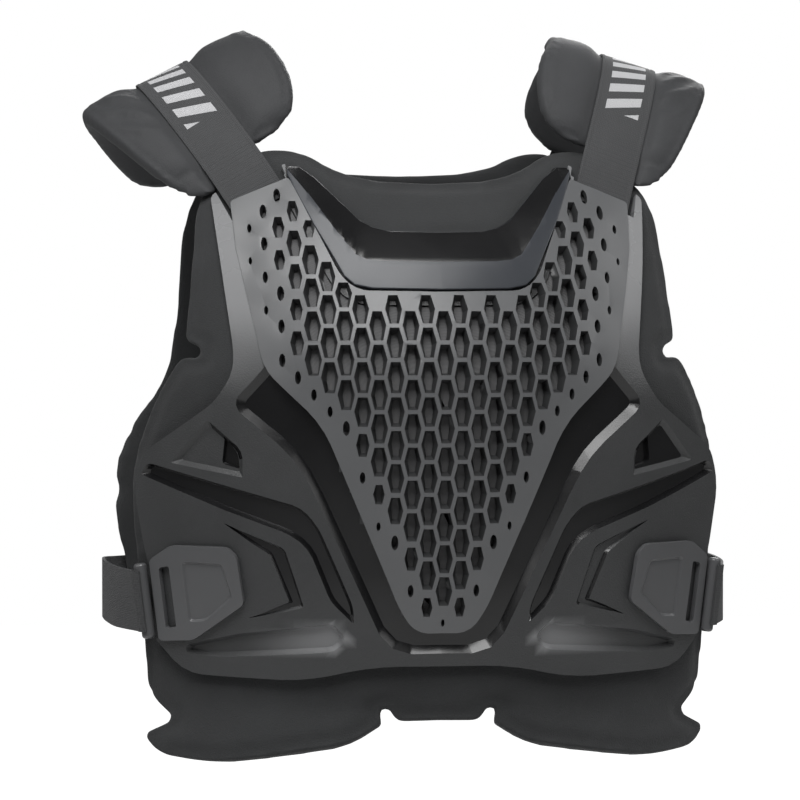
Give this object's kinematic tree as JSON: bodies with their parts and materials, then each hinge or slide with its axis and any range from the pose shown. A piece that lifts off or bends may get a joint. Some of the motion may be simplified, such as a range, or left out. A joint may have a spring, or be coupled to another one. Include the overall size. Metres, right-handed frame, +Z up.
{
  "type": "roost deflector",
  "caption": "Off-road roost deflector: padded front and back bodies, vented chest plate, foam shoulder pads, webbing and side buckles, as worn.",
  "frame": {"origin": "midway between the shoulder seats, at the level where the pads' webbing crosses the shoulders", "axes": "+Z up along the wearer's body, front of the chest faces -Y, wearer's left arm at +X"},
  "size_m": [0.4633, 0.2732, 0.5072],
  "materials": {
    "liner_foam": "matte",
    "backing_cloth": "matte",
    "plate_black": "satin",
    "panel_grey": "satin",
    "band_gloss": "gloss",
    "pad_foam": "matte",
    "webbing": "matte",
    "buckle_plastic": "satin"
  },
  "bodies": {
    "root": {"front_liner": "liner_foam", "vent_backing": "backing_cloth", "base_plate": "plate_black", "chest_panel": "panel_grey", "neck_band": "band_gloss", "back_liner": "liner_foam", "back_plate": "plate_black", "shoulder_pad_left": "pad_foam", "shoulder_pad_right": "pad_foam", "shoulder_strap_left": "webbing", "shoulder_strap_right": "webbing", "buckle_plate_left": "buckle_plastic", "buckle_plate_right": "buckle_plastic", "buckle_bar_left": "buckle_plastic", "buckle_bar_right": "buckle_plastic", "side_strap_left": "webbing", "side_strap_right": "webbing"}
  },
  "joints": []
}
